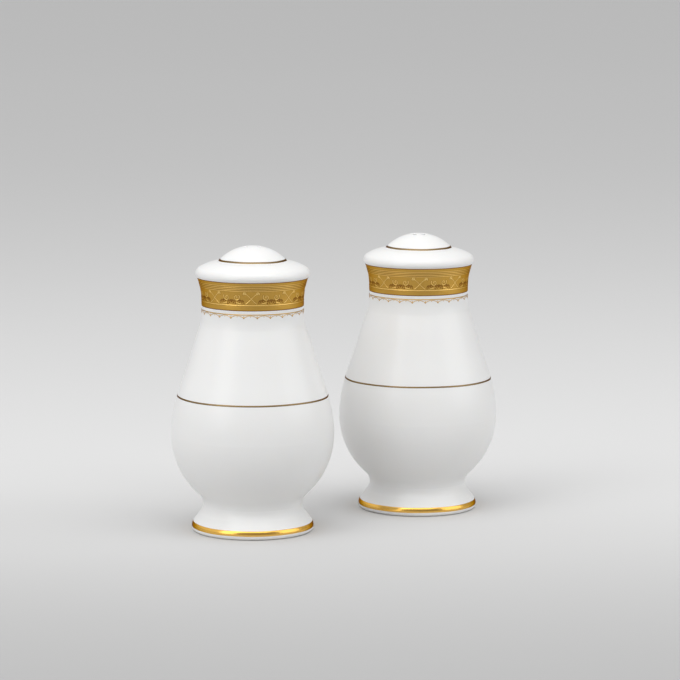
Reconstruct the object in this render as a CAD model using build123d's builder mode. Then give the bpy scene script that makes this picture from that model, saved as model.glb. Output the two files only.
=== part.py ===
from build123d import *
import os
from math import cos, radians, sin, sqrt

"""
A pair of pear-shaped porcelain shakers, for salt and for pepper.

Each shaker is one hollow slip-cast body on a flared foot, with a domed, pierced top. It has a wide
gilt collar under the dome, a scalloped gilt border below the collar and three thin gilt rings. A
soft stopper closes the filling hole in its recessed base. The two shakers stand side by side along X
on the plane Z = 0, and the origin is midway between their axes. All sizes are in millimetres.
"""

# Driving dimensions
HEIGHT = 95.0
SPACING = 69.4  # between the axes of the two shakers
WALL = 2.8

FOOT_RADIUS = 20.25
FOOT_EDGE_ROUND = 1.2
FOOT_UPRIGHT_TOP = 1.4  # the foot's edge is upright up to here
FOOT_EDGE_TOP = (19.7, 3.3)  # where its rounded top ends, as (radius, height)

WAIST_RADIUS = 16.5
WAIST_HEIGHT = 9.0
WAIST_CURVE = 4.5

BELLY_RADIUS = 27.05
BELLY_HEIGHT = 32.2
BELLY_CURVE = 26.3

# Points that the outside passes between the belly and the neck, as (radius, height)
UPPER_BODY = [(25.5, 43.6), (21.8, 55.1), (18.35, 66.0)]

NECK_RADIUS = 16.87
NECK_BOTTOM = 73.5
NECK_TOP = 77.8

# Points that the outside passes as it flares from the neck to the rim, as (radius, height)
FLARE = [(17.15, 80.7), (17.8, 83.1), (18.35, 84.6)]

RIM_RADIUS = 18.93
RIM_HEIGHT = 85.8  # where the rim under the dome is widest
RIM_CURVE = 2.4
RIM_CURVE_END = 60.0  # degrees above the horizontal
DOME_CURVE = 15.5
DOME_RADIUS = 11.5  # where the dome meets the shoulder
DOME_FILLET = 0.9

# Gilding: thin raised layers on the glaze
GILT = 0.1
COLLAR = (75.3, 84.7)
BORDER = (72.6, 74.3)
BELLY_LINE = (45.0, 45.6)
FOOT_BAND = (1.25, 3.2)
DOME_LINE = (10.7, 11.3)  # inner and outer radius
BORDER_SCALLOPS = 24
SCALLOP_RADIUS = 2.3
SCALLOP_DEPTH = 0.9  # how far each scallop bites into the border's lower edge

# Recessed base with the filling hole
FOOT_RING_INNER = 17.3  # inner edge of the ring that the shaker stands on
RECESS_RADIUS = 13.2
BASE_BOTTOM = 7.2
BASE_TOP = 10.2
FILLING_HOLE_RADIUS = 8.0
INNER_NECK_TOP = 81.0
INNER_DOME_RADIUS = 9.2
SOFT_EDGE = 0.6

# Pour holes, on a circle round the top of the dome
POUR_HOLE_RADIUS = 0.75
POUR_CIRCLE_RADIUS = 2.6
POUR_EDGE_ROUND = 0.2
POUR_HOLES = {"salt": 3, "pepper": 5}
FIRST_POUR_HOLE = 55.0  # degrees round from +X

# Soft stopper
STOPPER_CLEARANCE = 0.05
PLUG_TOP = 14.0
PLUG_TIP_CHAMFER = 0.7
PLUG_HOLLOW_RADIUS = 5.8
PLUG_HOLLOW_FLOOR = 8.8
RIB_COUNT = 3
RIB_PITCH = 2.2
RIB_HEIGHT = 0.9
RIB_DEPTH = 0.45
FLANGE_RADIUS = 10.5
FLANGE_THICKNESS = 1.8
PULL_TAB_LENGTH = 13.0
PULL_TAB_WIDTH = 2.6
PULL_TAB_HEIGHT = 2.5

DOME_CENTRE = HEIGHT - DOME_CURVE
PLACES = {"salt": -SPACING / 2, "pepper": SPACING / 2}


def on_circle(centre, radius, angle):
    """The point at an angle, in degrees, on a circle."""
    return (centre[0] + radius * cos(radians(angle)), centre[1] + radius * sin(radians(angle)))


def between(start, end, distance):
    """The point at a distance from start, on the way to end."""
    step = (Vector(*end) - Vector(*start)).normalized() * distance
    return (start[0] + step.X, start[1] + step.Y)


def dome_height(radius, thickness=0.0):
    """Height of the dome, or of the surface that lies a thickness inside it, at a radius."""
    return DOME_CENTRE + sqrt((DOME_CURVE - thickness) ** 2 - radius**2)


def section_plane(x):
    """The upright plane through a shaker's axis: its X is the radius, and its Y the height."""
    return Plane(origin=(x, 0, 0), x_dir=(1, 0, 0), z_dir=(0, -1, 0))


def shaker_axis(x):
    return Axis((x, 0, 0), (0, 0, 1))


waist_centre = (WAIST_RADIUS + WAIST_CURVE, WAIST_HEIGHT)
belly_centre = (BELLY_RADIUS - BELLY_CURVE, BELLY_HEIGHT)

# The outside of a solid shaker, as half of its section
with BuildSketch() as outside:
    with BuildLine():
        waist = (WAIST_RADIUS, WAIST_HEIGHT)
        belly = (BELLY_RADIUS, BELLY_HEIGHT)
        foot_upright = (FOOT_RADIUS, FOOT_UPRIGHT_TOP)
        foot_flare = on_circle(waist_centre, WAIST_CURVE, 225)
        waist_to_belly = between(belly_centre, waist_centre, BELLY_CURVE)
        rim = (RIM_RADIUS, RIM_HEIGHT)
        rim_top = on_circle((RIM_RADIUS - RIM_CURVE, RIM_HEIGHT), RIM_CURVE, RIM_CURVE_END)
        dome_foot = (DOME_RADIUS, dome_height(DOME_RADIUS))

        Line((0, 0), (FOOT_RADIUS - FOOT_EDGE_ROUND, 0))
        RadiusArc(
            (FOOT_RADIUS - FOOT_EDGE_ROUND, 0), (FOOT_RADIUS, FOOT_EDGE_ROUND), -FOOT_EDGE_ROUND
        )
        Line((FOOT_RADIUS, FOOT_EDGE_ROUND), foot_upright)
        TangentArc(foot_upright, FOOT_EDGE_TOP, tangent=(0, 1))
        Line(FOOT_EDGE_TOP, foot_flare)
        TangentArc(waist, foot_flare, tangent=(0, -1))
        TangentArc(waist, waist_to_belly, tangent=(0, 1))
        TangentArc(belly, waist_to_belly, tangent=(0, -1))
        Spline(belly, *UPPER_BODY, (NECK_RADIUS, NECK_BOTTOM), tangents=[(0, 1), (0, 1)])
        Line((NECK_RADIUS, NECK_BOTTOM), (NECK_RADIUS, NECK_TOP))
        Spline((NECK_RADIUS, NECK_TOP), *FLARE, rim, tangents=[(0, 1), (0, 1)])
        TangentArc(rim, rim_top, tangent=(0, 1))
        TangentArc(rim_top, dome_foot, tangent=(-sin(radians(RIM_CURVE_END)), cos(radians(RIM_CURVE_END))))
        TangentArc((0, HEIGHT), dome_foot, tangent=(1, 0))
        Line((0, HEIGHT), (0, 0))
    make_face()
    fillet(outside.vertices().sort_by_distance(dome_foot)[0], DOME_FILLET)

# The space inside the shaker
with BuildSketch() as cavity:
    with BuildLine():
        inner_waist_drop = WAIST_HEIGHT - BASE_TOP
        inner_waist_radius = waist_centre[0] - sqrt((WAIST_CURVE + WALL) ** 2 - inner_waist_drop**2)
        floor_edge = (inner_waist_radius, BASE_TOP)
        inner_waist_to_belly = between(belly_centre, waist_centre, BELLY_CURVE - WALL)
        inner_belly = (BELLY_RADIUS - WALL, BELLY_HEIGHT)
        inner_neck_bottom = (NECK_RADIUS - WALL, NECK_BOTTOM)
        inner_neck_top = (NECK_RADIUS - WALL, INNER_NECK_TOP)
        inner_dome_foot = (INNER_DOME_RADIUS, dome_height(INNER_DOME_RADIUS, WALL))
        dome_slope = (DOME_CENTRE - inner_dome_foot[1], INNER_DOME_RADIUS)

        Line((0, BASE_TOP), floor_edge)
        RadiusArc(floor_edge, inner_waist_to_belly, WAIST_CURVE + WALL)
        TangentArc(inner_belly, inner_waist_to_belly, tangent=(0, -1))
        Spline(
            inner_belly,
            *[(radius - WALL, height) for radius, height in UPPER_BODY],
            inner_neck_bottom,
            tangents=[(0, 1), (0, 1)],
        )
        Line(inner_neck_bottom, inner_neck_top)
        Spline(inner_neck_top, inner_dome_foot, tangents=[(0, 1), dome_slope])
        TangentArc((0, HEIGHT - WALL), inner_dome_foot, tangent=(1, 0))
        Line((0, HEIGHT - WALL), (0, BASE_TOP))
    make_face()
    fillet(cavity.vertices().sort_by_distance(floor_edge)[0], SOFT_EDGE)

# The hollow under the base
with BuildSketch() as recess:
    with BuildLine():
        Polyline((0, 0), (FOOT_RING_INNER, 0), (RECESS_RADIUS, BASE_BOTTOM), (0, BASE_BOTTOM), close=True)
    make_face()
    fillet(recess.vertices().sort_by_distance((RECESS_RADIUS, BASE_BOTTOM))[0], 2 * SOFT_EDGE)


def make_body(x, pour_holes):
    """One shaker's porcelain: a hollow shell with a pierced dome and a filling hole in its base."""
    with BuildPart() as body:
        with BuildSketch(section_plane(x)) as section:
            add(outside.sketch)
            add(cavity.sketch, mode=Mode.SUBTRACT)
            add(recess.sketch, mode=Mode.SUBTRACT)
            with Locations((0, BASE_BOTTOM)):
                Rectangle(
                    FILLING_HOLE_RADIUS,
                    BASE_TOP - BASE_BOTTOM,
                    align=(Align.MIN, Align.MIN),
                    mode=Mode.SUBTRACT,
                )
            hole_corners = section.vertices().filter_by_position(
                Axis.X, x + FILLING_HOLE_RADIUS - 0.01, x + FILLING_HOLE_RADIUS + 0.01
            )
            foot_corner = section.vertices().sort_by_distance((x + FOOT_RING_INNER, 0, 0))[0]
            fillet([*hole_corners, foot_corner], SOFT_EDGE)
        revolve(axis=shaker_axis(x))
        with Locations((x, 0, HEIGHT)):
            with PolarLocations(POUR_CIRCLE_RADIUS, pour_holes, start_angle=FIRST_POUR_HOLE):
                Hole(POUR_HOLE_RADIUS, depth=2 * WALL)
        fillet(body.edges(Select.LAST).group_by(Axis.Z)[-1], POUR_EDGE_ROUND)
    return body.part


def make_gilding(x, radii, heights, raised=(GILT, 0)):
    """A gilt layer on the outside of a shaker, within a range of radii and a range of heights."""
    with BuildPart() as layer:
        with BuildSketch(section_plane(x)):
            with Locations(raised):
                add(outside.sketch)
            add(outside.sketch, mode=Mode.SUBTRACT)
            with Locations((radii[0], heights[0])):
                Rectangle(
                    radii[1] - radii[0],
                    heights[1] - heights[0],
                    align=(Align.MIN, Align.MIN),
                    mode=Mode.INTERSECT,
                )
        revolve(axis=shaker_axis(x))
    return layer.part


def make_border(x):
    """The gilt border below the collar: a band whose lower edge is cut into scallops."""
    scallop_centre = BORDER[0] + SCALLOP_DEPTH - SCALLOP_RADIUS
    band = make_gilding(x, (0, BELLY_RADIUS), BORDER)
    with BuildPart() as border:
        add(band)
        with Locations((x, 0, scallop_centre)):
            with PolarLocations(0, BORDER_SCALLOPS):
                Cylinder(
                    SCALLOP_RADIUS,
                    BELLY_RADIUS,
                    rotation=(0, 90, 0),
                    align=(Align.CENTER, Align.CENTER, Align.MIN),
                    mode=Mode.SUBTRACT,
                )
    return border.part


def make_stopper(x):
    """The soft stopper: a ribbed, hollow plug with a flange and a pull tab under the base."""
    plug_radius = FILLING_HOLE_RADIUS - STOPPER_CLEARANCE
    flange_bottom = BASE_BOTTOM - FLANGE_THICKNESS
    with BuildPart() as stopper:
        with BuildSketch(section_plane(x)) as section:
            with Locations((0, flange_bottom)):
                Rectangle(FLANGE_RADIUS, FLANGE_THICKNESS, align=(Align.MIN, Align.MIN))
                Rectangle(plug_radius, PLUG_TOP - flange_bottom, align=(Align.MIN, Align.MIN))
            with Locations((0, PLUG_HOLLOW_FLOOR)):
                Rectangle(
                    PLUG_HOLLOW_RADIUS,
                    PLUG_TOP - PLUG_HOLLOW_FLOOR,
                    align=(Align.MIN, Align.MIN),
                    mode=Mode.SUBTRACT,
                )
            for rib in range(RIB_COUNT):
                with Locations((plug_radius - RIB_DEPTH, BASE_BOTTOM + rib * RIB_PITCH + RIB_HEIGHT)):
                    Rectangle(
                        2 * RIB_DEPTH,
                        RIB_PITCH - RIB_HEIGHT,
                        align=(Align.MIN, Align.MIN),
                        mode=Mode.SUBTRACT,
                    )
            flange_corners = section.vertices().group_by(Axis.X)[-1]
            fillet(flange_corners, SOFT_EDGE)
        revolve(axis=shaker_axis(x))
        with BuildSketch(Plane(origin=(x, 0, flange_bottom))):
            SlotOverall(PULL_TAB_LENGTH, PULL_TAB_WIDTH)
        extrude(amount=-PULL_TAB_HEIGHT)
        fillet(stopper.edges().group_by(Axis.Z)[0], SOFT_EDGE)
    return stopper.part


def save(part, label):
    part.label = label
    export_step(part, f"parts/{label}.step")


os.makedirs("parts", exist_ok=True)
for name, x in PLACES.items():
    save(make_body(x, POUR_HOLES[name]), f"{name}_body")
    save(make_stopper(x), f"{name}_stopper")
    save(make_gilding(x, (0, BELLY_RADIUS), COLLAR), f"{name}_collar")
    save(make_border(x), f"{name}_border")
    save(make_gilding(x, (0, BELLY_RADIUS), BELLY_LINE), f"{name}_belly_line")
    save(make_gilding(x, (0, BELLY_RADIUS), FOOT_BAND), f"{name}_foot_band")
    save(make_gilding(x, DOME_LINE, (RIM_HEIGHT, HEIGHT), raised=(0, GILT)), f"{name}_dome_line")
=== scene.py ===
"""Looks for a pair of gilded porcelain shakers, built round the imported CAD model.

The porcelain bodies and the stoppers are the CAD nodes with new materials. The gilding is modelled
here: a relief collar, a scalloped and beaded border, and painted rings, all laid on the CAD glaze.
Everything is in metres, in the row frame. Sizes named below are in millimetres where they end in _MM.
"""

import math

import bpy
import numpy as np
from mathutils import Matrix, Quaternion, Vector
from mathutils.bvhtree import BVHTree


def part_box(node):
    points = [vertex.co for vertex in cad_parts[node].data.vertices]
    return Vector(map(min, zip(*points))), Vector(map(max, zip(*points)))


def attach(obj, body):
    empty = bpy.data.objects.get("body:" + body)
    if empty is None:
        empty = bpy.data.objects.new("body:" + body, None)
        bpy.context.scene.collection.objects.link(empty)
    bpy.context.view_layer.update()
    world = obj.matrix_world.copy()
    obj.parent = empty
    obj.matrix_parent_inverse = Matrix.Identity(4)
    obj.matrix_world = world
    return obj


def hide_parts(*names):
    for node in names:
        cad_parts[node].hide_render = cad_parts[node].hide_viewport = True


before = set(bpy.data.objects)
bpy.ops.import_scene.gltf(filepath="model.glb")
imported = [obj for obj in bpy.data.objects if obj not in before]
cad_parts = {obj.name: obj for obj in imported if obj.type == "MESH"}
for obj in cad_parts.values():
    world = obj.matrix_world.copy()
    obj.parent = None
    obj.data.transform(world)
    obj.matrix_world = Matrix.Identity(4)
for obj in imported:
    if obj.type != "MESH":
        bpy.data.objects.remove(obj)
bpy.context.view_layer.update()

MM = 0.001
SHAKERS = ("salt", "pepper")

# Camera
CAMERA_TARGET = (0.0008, -0.0006, 0.0608)
CAMERA_AZIMUTH = -36.6
CAMERA_ELEVATION = 7.94
CAMERA_DISTANCE = 1.0727
CAMERA_LENS = 168.4
CAMERA_SENSOR = 36.0
CAMERA_ROLL = 0.19

# Stage: the floor's grey along the direction that the camera looks, as (metres from the set, grey).
# The greys are painted light and shade: darkest a little in front of the set, lighter round and behind
# it.
FLOOR_RADIUS = 9.0
FLOOR_SIDES = 64
FLOOR_PAINTED_LIGHT = [
    (-3.0, 0.7), (-1.2, 0.62), (-0.6, 0.45), (-0.4, 0.38), (-0.25, 0.41), (-0.17, 0.46), (-0.11, 0.515),
    (-0.05, 0.585), (0.03, 0.66), (0.12, 0.695), (0.3, 0.69), (0.6, 0.68), (0.8, 0.675), (1.2, 0.69),
    (1.7, 0.725), (2.5, 0.77), (4.5, 0.78),
]

# The room's light: a grey, a brighter patch on one side, and a patch in front that takes a share away.
# A patch has an azimuth and an elevation in degrees, the cosines from its middle where it starts and
# is full, and its strength. Towards the horizon the room fades to a grey of its own.
ROOM_GREY = 0.52
ROOM_BRIGHT = dict(azimuth=-128, elevation=40, start=0.0, full=0.95, strength=0.29)
ROOM_DARK = dict(azimuth=CAMERA_AZIMUTH, elevation=18, start=0.62, full=0.84, strength=0.45)
HORIZON_GREY = 0.49
HORIZON_HEIGHTS = (0.02, 0.2)  # sines of the elevations where the horizon's grey starts to go and is gone

# Soft boxes round the set: azimuth and elevation in degrees, distance and size in metres, power in watts
LIGHTS_AIM = (0, 0, 0.05)
LIGHTS = {
    "top_box": dict(azimuth=-36, elevation=64, distance=1.4, width=1.6, height=1.5, power=11.9),
    "left_box": dict(azimuth=-84, elevation=30, distance=1.5, width=0.8, height=1.4, power=5),
    "right_box": dict(azimuth=40, elevation=28, distance=1.5, width=1.2, height=1.4, power=5.5),
}

# Porcelain: two greys that the glaze drifts between, and the bare biscuit under the foot
GLAZE_GREYS = ((0.805, 0.805, 0.797), (0.825, 0.825, 0.82))
GLAZE_ROUGHNESS = 0.33
BISCUIT = (0.74, 0.70, 0.64)
BISCUIT_ROUGHNESS = 0.85
BISCUIT_TOP = (0.0002, 0.0005)  # heights between which the glaze begins

# Stopper plastic: two colours that it drifts between, and two roughnesses
PLASTIC_COLOURS = ((0.80, 0.79, 0.74), (0.86, 0.85, 0.81))
PLASTIC_ROUGHNESSES = (0.42, 0.58)

# Noises, as (scale in cells per metre, detail), and bumps, as (height in metres, strength)
CLOUDS = {"porcelain": (35, 3), "gold": (260, 3), "plastic": (300, 3)}
GLAZE_RIPPLE = ((60, 1), (0.0001, 0.25))
GLAZE_GRAIN = ((2200, 2), (0.000008, 0.5))
GOLD_GRAIN = ((7000, 2), (0.00001, 0.35))
PLASTIC_GRAIN = ((3000, 2), (0.00003, 0.4))
WEAR_NOISE = (900, 4, 0.7)  # with its own roughness

# Golds: each material's name, its colours on the burnished top, half way down and on the etched ground,
# and the roughness of its top. On the relief golds the darker colours are painted shade in the grooves
# and the top colour is a painted highlight; the line gold is a darkened copy of the gold, painted shade.
# Away from a relief the top and middle colours are a random drift.
GOLDS = {
    "collar": ("gold_relief_painted_shade", (0.95, 0.66, 0.22), (0.64, 0.38, 0.08), (0.24, 0.1, 0.02), 0.22),
    "border": ("gold_border_painted_shade", (0.66, 0.42, 0.12), (0.6, 0.36, 0.1), (0.45, 0.26, 0.07), 0.28),
    "band": ("gold_band", (0.92, 0.54, 0.12), (0.92, 0.54, 0.12), (0.75, 0.38, 0.06), 0.1),
    # the thin lines' gold is a darkened copy of the gold, painted shade; its two top colours drift at
    # random
    "line": ("gold_line_painted_dark", (0.27, 0.19, 0.09), (0.24, 0.16, 0.07), (0.2, 0.13, 0.05), 0.3),
}
# The relief golds carry painted shade in their grooves and a painted highlight on their raised tops.
SHADED_RELIEF_GOLDS = ("collar", "border")  # the golds whose colour follows a relief
GOLD_WORN = (0.62, 0.36, 0.12)
GOLD_WEAR = 0.18
SUNK_ROUGHNESS = 0.55
CLOUD_ROUGHNESS = 0.1  # added by the drift of the surface
GRAZING_TINT = (0.3, 0.16, 0.06)

# Relief collar: its mesh, its pattern's repeats, and how far its ground and its tops lie off the glaze
COLLAR_COLUMNS = 960
COLLAR_ROWS = 96
COLLAR_CELLS = 8
COLLAR_FLOOR_MM = 0.01
COLLAR_DEPTH_MM = 0.13
COLLAR_GIRTH = 0.95  # of the girth at the collar's widest, the girth that its pattern is drawn for

# Collar pattern, as heights above its lower edge. A line stands in a groove: it has a width and a top
# level, and the groove has a half width and a level.
FINE_LINES_MM = (6.55, 7.1, 7.65, 8.2)
FINE_LINE = dict(width=0.26, raised=0.95, groove=0.28, sunk=0.2)
LOW_LINE_MM = 1.85
LOW_LINE = dict(width=0.34, raised=1.0, groove=0.5, sunk=0.3)
PLAIN_BOTTOM_MM = 1.4  # top of the plain lower edge
PLAIN_TOP_MM = 0.8  # height of the plain upper edge
EDGE_START_MM = 0.1  # where the plain edges start to rise from the collar's own edges
EDGE_RISE_MM = 0.3

# Frieze of the collar: sunk leaves in pairs along two stems on each side of a cell
LEAF_STEMS = (0.17, 0.38)  # of a cell's width, where each stem starts
LEAF_STEPS = 4
LEAF_FOOT_MM = 2.75
LEAF_STEP_MM = (0.62, 0.22)
LEAF_WIDTH_MM = 0.62
UPPER_LEAF = dict(turn=52, closing=-8, length=1.5)
LOWER_LEAF = dict(turn=-48, closing=8, length=0.95)
STEM_WIDTHS_MM = (0.42, 0.36)  # at the stem's start and, drawn back from its tip, at the tip
STEM_GROOVE_MM = 0.85
STEM_GROOVE_LEVEL = 0.22
STEM_POINTS = 60
SPIRAL_POINTS = 40
HATCH_PITCH_MM = 0.42
HATCH_DEPTH = 0.06
GROUND = 0.5  # the middle level that the patterns are cut into

# How softly the raised patterns end, in their own half widths
STROKE_SHOULDER = 1.35
LINE_SHOULDER = 1.4
STROKE_TIP = 0.45  # of a stroke's width, what is left at its last point

# Scalloped border: its mesh, its pattern's repeats, and how far its ground and its tops lie off the glaze
BORDER_COLUMNS = 960
BORDER_ROWS = 40
BORDER_SCALLOPS = 24
BORDER_FLOOR_MM = -0.05
BORDER_DEPTH_MM = 0.13

# Border pattern: places measured down from its upper edge, and widths
BORDER_LINE = (0.2, 0.3)
ARCH_TOP_MM = 0.5
ARCH_DROP_MM = 0.75
ARCH_WIDTH_MM = 0.24
INNER_BEAD = (0.75, 0.34)
MIDDLE_BEAD = (0.85, 0.3)
FOOT_BEAD = (0.42, 0.6)  # height above the border's lower edge, and width

# Painted rings
RING_COLUMNS = 480
RING_ROWS = 6
RING_GILT_MM = 0.06
RING_EDGE_MM = -0.02  # how far the ring's edges lie off the glaze
RING_BACK_MM = -0.05
DOME_LINE_WIDTH_MM = 0.6
WAVER = ((3, 0.00003), (7, 0.00002))  # waves round the ring and their heights in metres
RING_PHASES = {"salt": 0.0, "pepper": 1.7}  # where the waves start, so the two shakers differ

# Laying a band on the glaze
BACK_MM = 0.12  # how far the hidden back of a relief band lies inside the glaze
BACK_ROWS = 12
CAST_COLUMNS = 480  # at most so many columns are cast onto the glaze, and the rest lie between them
CAST_CLEARANCE = 0.01  # how far outside the body a cast starts


# ------------------------------------------------------------------ camera, stage and lights


def direction(azimuth, elevation):
    """The unit vector from the set towards a viewer at that azimuth and elevation, in degrees."""
    a, e = math.radians(azimuth), math.radians(elevation)
    return Vector((math.sin(a) * math.cos(e), -math.cos(a) * math.cos(e), math.sin(e)))


def make_camera():
    data = bpy.data.cameras.new("camera")
    data.lens = CAMERA_LENS
    data.sensor_width = CAMERA_SENSOR
    data.clip_end = 50
    camera = bpy.data.objects.new("camera", data)
    bpy.context.scene.collection.objects.link(camera)
    back = direction(CAMERA_AZIMUTH, CAMERA_ELEVATION)
    camera.location = Vector(CAMERA_TARGET) + back * CAMERA_DISTANCE
    camera.rotation_mode = "QUATERNION"
    roll = Quaternion((0, 0, 1), math.radians(CAMERA_ROLL))
    camera.rotation_quaternion = (-back).to_track_quat("-Z", "Y") @ roll
    bpy.context.scene.camera = camera


def make_light(name, azimuth, elevation, distance, width, height, power):
    """A soft box aimed at the middle of the set."""
    data = bpy.data.lights.new(name, "AREA")
    data.shape = "RECTANGLE"
    data.size = width
    data.size_y = height
    data.energy = power
    light = bpy.data.objects.new(name, data)
    bpy.context.scene.collection.objects.link(light)
    toward = direction(azimuth, elevation)
    light.location = Vector(LIGHTS_AIM) + toward * distance
    light.rotation_mode = "QUATERNION"
    light.rotation_quaternion = (-toward).to_track_quat("-Z", "Y")


class Nodes:
    """Short calls for building a material's node tree."""

    def __init__(self, tree):
        self.tree = tree

    def add(self, kind, **settings):
        node = self.tree.nodes.new(kind)
        for name, value in settings.items():
            setattr(node, name, value)
        return node

    def link(self, source, target):
        self.tree.links.new(source, target)

    def feed(self, socket, value):
        """Links a socket into this one, or sets this one to a number or a colour."""
        if isinstance(value, bpy.types.NodeSocket):
            self.link(value, socket)
        else:
            socket.default_value = value

    def math(self, operation, a, b):
        node = self.add("ShaderNodeMath", operation=operation)
        for socket, value in zip(node.inputs, (a, b)):
            self.feed(socket, value)
        return node.outputs[0]

    def mix(self, factor, a, b):
        """A colour between two colours, a at factor 0 and b at factor 1."""
        node = self.add("ShaderNodeMix", data_type="RGBA")
        self.feed(node.inputs["Factor"], factor)
        self.feed(node.inputs[6], a)
        self.feed(node.inputs[7], b)
        return node.outputs[2]

    def blend(self, factor, a, b):
        """A number between two numbers, a at factor 0 and b at factor 1."""
        node = self.add("ShaderNodeMix", data_type="FLOAT")
        self.feed(node.inputs["Factor"], factor)
        self.feed(node.inputs[2], a)
        self.feed(node.inputs[3], b)
        return node.outputs[0]

    def smooth(self, value, low, high, to_low=0.0, to_high=1.0):
        """A soft step from to_low to to_high, as the value goes from low to high."""
        node = self.add("ShaderNodeMapRange", interpolation_type="SMOOTHSTEP")
        for socket, x in zip(node.inputs, (value, low, high, to_low, to_high)):
            self.feed(socket, x)
        return node.outputs[0]

    def noise(self, where, scale, detail=3.0, roughness=0.5):
        node = self.add("ShaderNodeTexNoise")
        self.link(where, node.inputs["Vector"])
        node.inputs["Scale"].default_value = scale
        node.inputs["Detail"].default_value = detail
        node.inputs["Roughness"].default_value = roughness
        return node.outputs["Fac"]

    def grain(self, where, noise, bump, normal=None):
        """A normal roughened by a noise."""
        return self.bump(self.noise(where, *noise), *bump, normal)

    def bump(self, height, distance, strength, normal=None):
        node = self.add("ShaderNodeBump")
        node.inputs["Strength"].default_value = strength
        node.inputs["Distance"].default_value = distance
        self.link(height, node.inputs["Height"])
        if normal is not None:
            self.link(normal, node.inputs["Normal"])
        return node.outputs[0]


def new_material(name):
    material = bpy.data.materials.new(name)
    material.use_nodes = True
    nodes = Nodes(material.node_tree)
    shader = material.node_tree.nodes["Principled BSDF"]
    place = nodes.add("ShaderNodeTexCoord").outputs["Object"]
    return material, nodes, shader, place


def make_floor_material():
    """A pale floor with painted light and shade: darkest a little in front of the set and lighter behind
    it.
    """
    material, nodes, shader, place = new_material("stage_floor")
    away = -direction(CAMERA_AZIMUTH, 0)
    along = nodes.add("ShaderNodeVectorMath", operation="DOT_PRODUCT")
    nodes.link(place, along.inputs[0])
    along.inputs[1].default_value = away
    start, end = FLOOR_PAINTED_LIGHT[0][0], FLOOR_PAINTED_LIGHT[-1][0]
    share = nodes.add("ShaderNodeMapRange")
    for socket, value in zip(share.inputs, (along.outputs["Value"], start, end, 0.0, 1.0)):
        nodes.feed(socket, value)
    ramp = nodes.add("ShaderNodeValToRGB")
    ramp.color_ramp.interpolation = "B_SPLINE"
    nodes.link(share.outputs[0], ramp.inputs[0])
    stops = ramp.color_ramp.elements
    while len(stops) < len(FLOOR_PAINTED_LIGHT):
        stops.new(0.5)
    for stop, (distance, grey) in zip(stops, FLOOR_PAINTED_LIGHT):
        stop.position = (distance - start) / (end - start)
        stop.color = (grey, grey, grey, 1)
    nodes.link(ramp.outputs[0], shader.inputs["Base Color"])
    shader.inputs["Roughness"].default_value = 0.9
    shader.inputs["Specular IOR Level"].default_value = 0.1
    return material


def make_world():
    """A grey room, softly brighter on one side and darker where the set is looked at from."""
    world = bpy.data.worlds.new("world")
    world.use_nodes = True
    nodes = Nodes(world.node_tree)
    place = nodes.add("ShaderNodeTexCoord").outputs["Generated"]

    def patch(azimuth, elevation, start, full, strength):
        toward = nodes.add("ShaderNodeVectorMath", operation="DOT_PRODUCT")
        nodes.link(place, toward.inputs[0])
        toward.inputs[1].default_value = direction(azimuth, elevation)
        return nodes.smooth(toward.outputs["Value"], start, full, 0.0, strength)

    grey = nodes.math("ADD", ROOM_GREY, patch(**ROOM_BRIGHT))
    lit = nodes.math("SUBTRACT", 1.0, patch(**ROOM_DARK))
    height = nodes.add("ShaderNodeSeparateXYZ")
    nodes.link(place, height.inputs[0])
    above = nodes.smooth(height.outputs["Z"], *HORIZON_HEIGHTS)
    grey = nodes.blend(above, HORIZON_GREY, nodes.math("MULTIPLY", grey, lit))
    nodes.link(grey, world.node_tree.nodes["Background"].inputs[0])
    bpy.context.scene.world = world


def make_stage():
    mesh = bpy.data.meshes.new("floor")
    ring = [(FLOOR_RADIUS * math.cos(a), FLOOR_RADIUS * math.sin(a), 0) for a in angles(FLOOR_SIDES)]
    mesh.from_pydata(ring, [], [range(FLOOR_SIDES)])
    floor = bpy.data.objects.new("floor", mesh)
    bpy.context.scene.collection.objects.link(floor)
    mesh.materials.append(make_floor_material())

    make_world()
    bpy.context.scene.view_settings.view_transform = "Standard"
    for name, settings in LIGHTS.items():
        make_light(name, **settings)


# ------------------------------------------------------------------ materials


def make_porcelain():
    """Glazed white porcelain, with bare biscuit where the foot ring was wiped before firing."""
    material, nodes, shader, place = new_material("porcelain")
    height = nodes.add("ShaderNodeSeparateXYZ")
    nodes.link(place, height.inputs[0])
    cloud = nodes.noise(place, *CLOUDS["porcelain"])
    glazed = nodes.smooth(height.outputs["Z"], *BISCUIT_TOP)
    tint = nodes.mix(cloud, *[(*grey, 1) for grey in GLAZE_GREYS])
    nodes.link(nodes.mix(glazed, (*BISCUIT, 1), tint), shader.inputs["Base Color"])
    nodes.link(nodes.blend(glazed, BISCUIT_ROUGHNESS, GLAZE_ROUGHNESS), shader.inputs["Roughness"])
    shader.inputs["IOR"].default_value = 1.52
    shader.inputs["Subsurface Weight"].default_value = 0.12
    shader.inputs["Subsurface Radius"].default_value = (1.0, 0.8, 0.6)
    shader.inputs["Subsurface Scale"].default_value = 0.0015
    shader.inputs["Specular IOR Level"].default_value = 0.4
    shader.inputs["Coat Weight"].default_value = 0.2
    shader.inputs["Coat Roughness"].default_value = 0.15
    ripple = nodes.grain(place, *GLAZE_RIPPLE)
    nodes.link(nodes.grain(place, *GLAZE_GRAIN, ripple), shader.inputs["Normal"])
    return material


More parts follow.
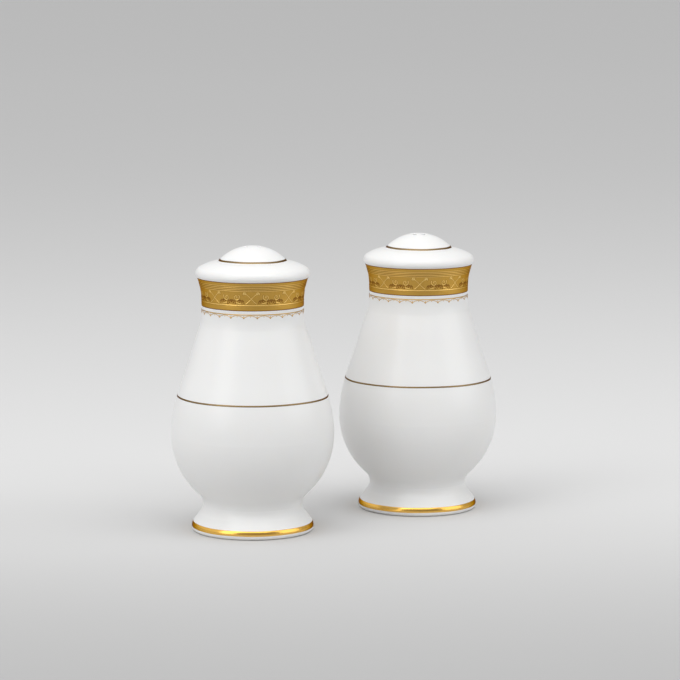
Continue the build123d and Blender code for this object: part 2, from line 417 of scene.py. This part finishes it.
def make_gold(name, raised, middle, sunk, smoothness, relief=False):
    """Fired gold. The relief attribute is 0 where it is etched deepest and 1 on the burnished top. Where
    it is read, the colour carries painted shade towards 0 and a painted highlight towards 1.
    """
    material, nodes, shader, place = new_material(name)
    shader.inputs["Metallic"].default_value = 1.0
    shader.inputs["Specular Tint"].default_value = (*GRAZING_TINT, 1)
    cloud = nodes.noise(place, *CLOUDS["gold"])
    wear = nodes.smooth(nodes.noise(place, *WEAR_NOISE), 0.45, 0.75)
    if relief:
        level = nodes.add("ShaderNodeAttribute", attribute_name="relief").outputs["Fac"]
    else:
        level = nodes.blend(cloud, 0.75, 1.0)
    # Where the relief is read, the colour is painted shade in the grooves, darkest where the relief is
    # lowest, and a painted highlight on the raised tops; elsewhere the level is the cloud, and the colour
    # drifts.
    colour = nodes.mix(nodes.smooth(level, 0.0, 0.45), (*sunk, 1), (*middle, 1))
    colour = nodes.mix(nodes.smooth(level, 0.55, 0.95), colour, (*raised, 1))
    colour = nodes.mix(nodes.math("MULTIPLY", wear, GOLD_WEAR), colour, (*GOLD_WORN, 1))
    nodes.link(colour, shader.inputs["Base Color"])
    rough = nodes.blend(level, SUNK_ROUGHNESS, smoothness)
    drift = nodes.math("MULTIPLY", cloud, CLOUD_ROUGHNESS)
    nodes.link(nodes.math("ADD", rough, drift), shader.inputs["Roughness"])
    nodes.link(nodes.grain(place, *GOLD_GRAIN), shader.inputs["Normal"])
    return material


def make_rubber():
    """Soft white translucent plastic."""
    material, nodes, shader, place = new_material("stopper_soft")
    cloud = nodes.noise(place, *CLOUDS["plastic"])
    colour = nodes.mix(cloud, *[(*tint, 1) for tint in PLASTIC_COLOURS])
    nodes.link(colour, shader.inputs["Base Color"])
    nodes.link(nodes.blend(cloud, *PLASTIC_ROUGHNESSES), shader.inputs["Roughness"])
    shader.inputs["Subsurface Weight"].default_value = 0.3
    shader.inputs["Subsurface Radius"].default_value = (1.0, 0.9, 0.7)
    shader.inputs["Subsurface Scale"].default_value = 0.002
    nodes.link(nodes.grain(place, *PLASTIC_GRAIN), shader.inputs["Normal"])
    return material


# ------------------------------------------------------------------ gilding laid on the glaze


class Glaze:
    """The outside of one CAD body, which the gilding is laid on."""

    def __init__(self, name):
        low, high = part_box(f"{name}_body")
        self.axis = Vector(((low.x + high.x) / 2, (low.y + high.y) / 2, 0))
        self.top = high.z
        self.reach = (high.x - low.x) / 2 + CAST_CLEARANCE
        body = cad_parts[f"{name}_body"].data
        corners = [v.co for v in body.vertices]
        self.tree = BVHTree.FromPolygons(corners, [p.vertices for p in body.polygons])

    def around(self, angle, height, lift):
        """A point on the wall at an angle and a height, lifted off the glaze."""
        out = Vector((math.cos(angle), math.sin(angle), 0))
        start = self.axis + out * self.reach + Vector((0, 0, height))
        hit = self.tree.ray_cast(start, -out)[0]
        return hit + out * lift

    def above(self, angle, radius, lift):
        """A point on the top at an angle and a radius, lifted off the glaze."""
        out = Vector((math.cos(angle), math.sin(angle), 0))
        start = self.axis + out * radius + Vector((0, 0, self.top + CAST_CLEARANCE))
        hit = self.tree.ray_cast(start, Vector((0, 0, -1)))[0]
        return hit + Vector((0, 0, lift))


def add_gilding(name, mesh, body, material, node):
    """Adds a gilt piece that rides on a body, in place of a CAD node."""
    piece = bpy.data.objects.new(name, mesh)
    bpy.context.scene.collection.objects.link(piece)
    mesh.materials.append(material)
    mesh.shade_smooth()
    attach(piece, body)
    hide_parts(node)


def heights_of(node):
    """The heights of a CAD node's bottom and top."""
    low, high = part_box(node)
    return low.z, high.z


def radius_of(node):
    """The radius of a CAD node that is round about its shaker's axis."""
    low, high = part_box(node)
    return (high.x - low.x) / 2


def closed_ring(name, loops):
    """A closed band from loops of points, each loop one step round the band's section."""
    count, steps = len(loops), len(loops[0])
    verts = [p for loop in loops for p in loop]
    faces = []
    for i in range(count):
        j = (i + 1) % count
        for k in range(steps):
            m = (k + 1) % steps
            faces.append((i * steps + k, i * steps + m, j * steps + m, j * steps + k))
    mesh = bpy.data.meshes.new(name)
    mesh.from_pydata(verts, [], faces)
    mesh.validate()
    return mesh


def angles(count):
    """Evenly spaced angles round a circle, in radians."""
    return [math.tau * k / count for k in range(count)]


def painted_ring(name, place, edges, material, body, node, phase):
    """A hand-banded gilt ring between two edges, with a soft crown and slightly wavering edges.

    place(angle, across, lift) gives a point: across is a height or a radius, as the ring needs.
    """
    low, high = edges
    loops = []
    for angle in angles(RING_COLUMNS):
        waver = sum(
            size * math.sin(waves * angle + (k + 1) * phase) for k, (waves, size) in enumerate(WAVER)
        )
        loop = []
        for k in range(RING_ROWS + 1):
            share = k / RING_ROWS
            crown = 1 - (2 * share - 1) ** 4
            lift = (RING_EDGE_MM + (RING_GILT_MM - RING_EDGE_MM) * crown) * MM
            loop.append(place(angle, low + waver + (high - low) * share, lift))
        loop.append(place(angle, high + waver, RING_BACK_MM * MM))
        loop.append(place(angle, low + waver, RING_BACK_MM * MM))
        loops.append(loop)
    add_gilding(name, closed_ring(name, loops), body, material, node)


# ------------------------------------------------------------------ relief patterns, in millimetres


def soft_step(x):
    """A smooth rise from 0 to 1, as x goes from 0 to 1."""
    x = np.clip(x, 0, 1)
    return x * x * (3 - 2 * x)


def stroke(x, y, points, width):
    """A rounded raised line along points, whose width tapers to its last point."""
    points = np.array(points)
    taper = np.linspace(1.0, STROKE_TIP, len(points))
    best = np.zeros(x.shape)
    for (px, py), t in zip(points, taper):
        away = np.hypot(x - px, y - py) / (0.5 * width * t)
        best = np.maximum(best, soft_step(STROKE_SHOULDER - away))
    return best


def leaf(x, y, root, turn, length, width):
    """A pointed leaf with a sunk midrib, growing from its root at a turn in degrees."""
    c, s = math.cos(math.radians(turn)), math.sin(math.radians(turn))
    along = ((x - root[0]) * c + (y - root[1]) * s) / length
    across = -(x - root[0]) * s + (y - root[1]) * c
    inside = np.clip(along, 0, 1)
    half = 0.5 * width * np.sin(np.pi * inside**0.8) + 1e-6
    body = soft_step(1.5 * (1 - np.abs(across) / half))
    rib = 0.45 * np.exp(-((across / (0.09 * width)) ** 2))
    return np.where((along > 0) & (along < 1), body * (1 - rib), 0)


def spiral(centre, start_radius, end_radius, start_turn, turns):
    """Points of a scroll that winds in round its centre, from a turn in degrees."""
    points = []
    for t in np.linspace(0, 1, SPIRAL_POINTS):
        radius = start_radius * (1 - t) + end_radius * t
        turn = math.radians(start_turn) + t * turns * math.tau
        points.append((centre[0] + radius * math.cos(turn), centre[1] + radius * math.sin(turn)))
    return points


def frieze_cell(x, y, pitch):
    """One cell of a generic foliate frieze, centred on x = 0: crossed stems, scrolls and sunk leaves."""
    relief = GROUND + HATCH_DEPTH * np.sin(math.tau * y / HATCH_PITCH_MM)
    step_out, step_up = LEAF_STEP_MM
    for side in (-1, 1):
        for share in LEAF_STEMS:
            for step in range(LEAF_STEPS):
                root = (side * (share * pitch + step_out * step), LEAF_FOOT_MM + step_up * step)
                for kind in (UPPER_LEAF, LOWER_LEAF):
                    turn = kind["turn"] + kind["closing"] * step
                    sunk = leaf(x, y, root, 90 - side * (90 - turn), kind["length"], LEAF_WIDTH_MM)
                    relief = np.minimum(relief, GROUND * (1 - sunk))
    whole = np.linspace(-1, 1, STEM_POINTS)
    half = np.linspace(0, 1, STEM_POINTS // 2)
    stems = []
    for side in (-1, 1):
        # a stem that crosses its mirror image in the middle of the cell
        stems.append([(side * 2.5 * t, 4.0 + 1.75 * t + 0.35 * math.sin(2.4 * t)) for t in whole])
        # a large scroll beside it, and the low stem that leads out to the scroll
        stems.append(spiral((side * 0.37 * pitch, 4.55), 1.15, 0.16, 90 + side * 60, side * 1.2))
        stems.append([(side * (0.12 + 0.25 * t) * pitch, 2.2 + 0.55 * t * t) for t in half])
        # a small scroll above the crossing
        stems.append(spiral((side * 2.1, 5.75), 0.6, 0.12, 90 - side * 120, side * 1.1))
    for stem in stems:
        beside = stroke(x, y, stem, STEM_GROOVE_MM) > 0.5
        relief = np.where(beside, np.minimum(relief, STEM_GROOVE_LEVEL), relief)
    for stem in stems:
        for points, width in zip((stem, stem[::-1]), STEM_WIDTHS_MM):
            relief = np.maximum(relief, stroke(x, y, points, width))
    return relief


def level_line(y, height, width):
    """A rounded raised line along the band at a height."""
    return soft_step(LINE_SHOULDER - np.abs(y - height) / (0.5 * width))


def grooved_line(relief, y, height, width, raised, groove, sunk):
    """The relief with a raised line in a groove added to it."""
    relief = np.where(np.abs(y - height) < groove, np.minimum(relief, sunk), relief)
    return np.maximum(relief, raised * level_line(y, height, width))


def cell_grid(columns, rows, cells, pitch, tall):
    """Places across and up one cell of a repeating band, in millimetres, by column and row."""
    per_cell = columns // cells
    across = (np.arange(per_cell) / per_cell - 0.5) * pitch
    up = np.linspace(0, tall, rows)
    return np.meshgrid(across, up, indexing="ij")


def collar_relief(width, tall):
    """The collar's relief, 0 to 1, by column and row: plain edges, fine lines and a foliate frieze."""
    pitch = width / COLLAR_CELLS
    x, y = cell_grid(COLLAR_COLUMNS, COLLAR_ROWS, COLLAR_CELLS, pitch, tall)
    relief = frieze_cell(x, y, pitch)
    for height in FINE_LINES_MM:
        relief = grooved_line(relief, y, height, **FINE_LINE)
    relief = grooved_line(relief, y, LOW_LINE_MM, **LOW_LINE)
    from_below = GROUND * soft_step((y - EDGE_START_MM) / EDGE_RISE_MM)
    from_above = GROUND * soft_step((tall - EDGE_START_MM - y) / EDGE_RISE_MM)
    relief = np.where(y < PLAIN_BOTTOM_MM, from_below, relief)
    relief = np.where(y > tall - PLAIN_TOP_MM, from_above, relief)
    return np.tile(relief, (COLLAR_CELLS, 1))


def border_relief(width, tall):
    """The border below the collar: a line, a chain of arches, and a bead at each foot of the arches."""
    pitch = width / BORDER_SCALLOPS
    x, y = cell_grid(BORDER_COLUMNS, BORDER_ROWS, BORDER_SCALLOPS, pitch, tall)
    below, width = BORDER_LINE
    relief = level_line(y, tall - below, width)
    whole = np.linspace(-pitch / 2, pitch / 2, STEM_POINTS)
    arch = [(u, tall - ARCH_TOP_MM - ARCH_DROP_MM * (2 * u / pitch) ** 2) for u in whole]
    beads = [(0, tall - MIDDLE_BEAD[0], MIDDLE_BEAD[1])]
    for foot in (-pitch / 2, pitch / 2):
        beads.append((foot, *FOOT_BEAD))
        beads.append((foot, tall - INNER_BEAD[0], INNER_BEAD[1]))
    for points in (arch, arch[::-1]):
        relief = np.maximum(relief, stroke(x, y, points, ARCH_WIDTH_MM))
    for across, up, width in beads:
        relief = np.maximum(relief, stroke(x, y, [(across, up)], width))
    return np.tile(relief, (BORDER_SCALLOPS, 1))


def glaze_radii(glaze, columns, heights, first_angle):
    """The glaze's radius by column and height: some columns are cast, and the rest lie between them."""
    step = max(1, columns // CAST_COLUMNS)
    cast = [glaze.around(a + first_angle, h, 0) for a in angles(columns // step) for h in heights]
    cast = np.array(cast).reshape(-1, len(heights), 3) - np.array(glaze.axis)
    radius = np.hypot(cast[:, :, 0], cast[:, :, 1])
    where = np.arange(columns) / step
    before = np.floor(where).astype(int) % radius.shape[0]
    after = (before + 1) % radius.shape[0]
    share = (where - np.floor(where))[:, None]
    return radius[before] * (1 - share) + radius[after] * share


def relief_band(name, glaze, relief, levels, material, body, node, first_angle=0.0):
    """A closed band whose outer face follows a relief.

    levels is how far the face lies off the glaze where the relief is 0, and how much further where it
    is 1, in millimetres.
    """
    columns, rows = relief.shape
    floor_mm, depth_mm = levels
    heights = np.linspace(*heights_of(node), rows)
    radius = glaze_radii(glaze, columns, heights, first_angle)
    turn = np.array(angles(columns)) + first_angle
    backs = np.linspace(rows - 1, 0, BACK_ROWS).astype(int)
    loops = []
    for i in range(columns):
        c, s = math.cos(turn[i]), math.sin(turn[i])
        loop = []
        for k in range(rows):
            r = radius[i, k] + (floor_mm + depth_mm * relief[i, k]) * MM
            loop.append((glaze.axis.x + r * c, glaze.axis.y + r * s, heights[k]))
        for k in backs:
            r = radius[i, k] - BACK_MM * MM
            loop.append((glaze.axis.x + r * c, glaze.axis.y + r * s, heights[k]))
        loops.append(loop)
    mesh = closed_ring(name, loops)
    level = np.concatenate([np.append(row, np.zeros(BACK_ROWS)) for row in relief])
    attribute = mesh.attributes.new("relief", "FLOAT", "POINT")
    attribute.data.foreach_set("value", level.astype(np.float32))
    add_gilding(name, mesh, body, material, node)


# ------------------------------------------------------------------ the set


def gild(name, golds):
    """Lays all the gilding of one shaker."""
    glaze = Glaze(name)
    body = f"{name}_shaker"
    phase = RING_PHASES[name]

    # The collar's pattern turns so that a cell faces the camera
    node = f"{name}_collar"
    low, high = heights_of(node)
    relief = collar_relief(math.tau * radius_of(node) * COLLAR_GIRTH / MM, (high - low) / MM)
    levels = (COLLAR_FLOOR_MM, COLLAR_DEPTH_MM)
    turn = math.radians(CAMERA_AZIMUTH - 90 - 180 / COLLAR_CELLS)
    relief_band(f"{name}_gilt_collar", glaze, relief, levels, golds["collar"], body, node, turn)

    node = f"{name}_border"
    low, high = heights_of(node)
    relief = border_relief(math.tau * radius_of(node) / MM, (high - low) / MM)
    levels = (BORDER_FLOOR_MM, BORDER_DEPTH_MM)
    relief_band(f"{name}_gilt_border", glaze, relief, levels, golds["border"], body, node)

    # The belly line and, below, the dome line take the line gold, a darkened copy painted as shade; the
    # foot band takes the band gold.
    for part, gold in (("belly_line", "line"), ("foot_band", "band")):
        node = f"{name}_{part}"
        edges = heights_of(node)
        painted_ring(f"{name}_gilt_{part}", glaze.around, edges, golds[gold], body, node, phase)
    node = f"{name}_dome_line"
    edges = (radius_of(node) - DOME_LINE_WIDTH_MM * MM, radius_of(node))
    painted_ring(f"{name}_gilt_dome_line", glaze.above, edges, golds["line"], body, node, phase)


def coat(node, material):
    """Gives a CAD node its material."""
    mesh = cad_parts[node].data
    mesh.materials.clear()
    mesh.materials.append(material)


make_camera()
make_stage()
porcelain = make_porcelain()
rubber = make_rubber()
golds = {kind: make_gold(*GOLDS[kind], relief=kind in SHADED_RELIEF_GOLDS) for kind in GOLDS}
for shaker in SHAKERS:
    coat(f"{shaker}_body", porcelain)
    coat(f"{shaker}_stopper", rubber)
    gild(shaker, golds)
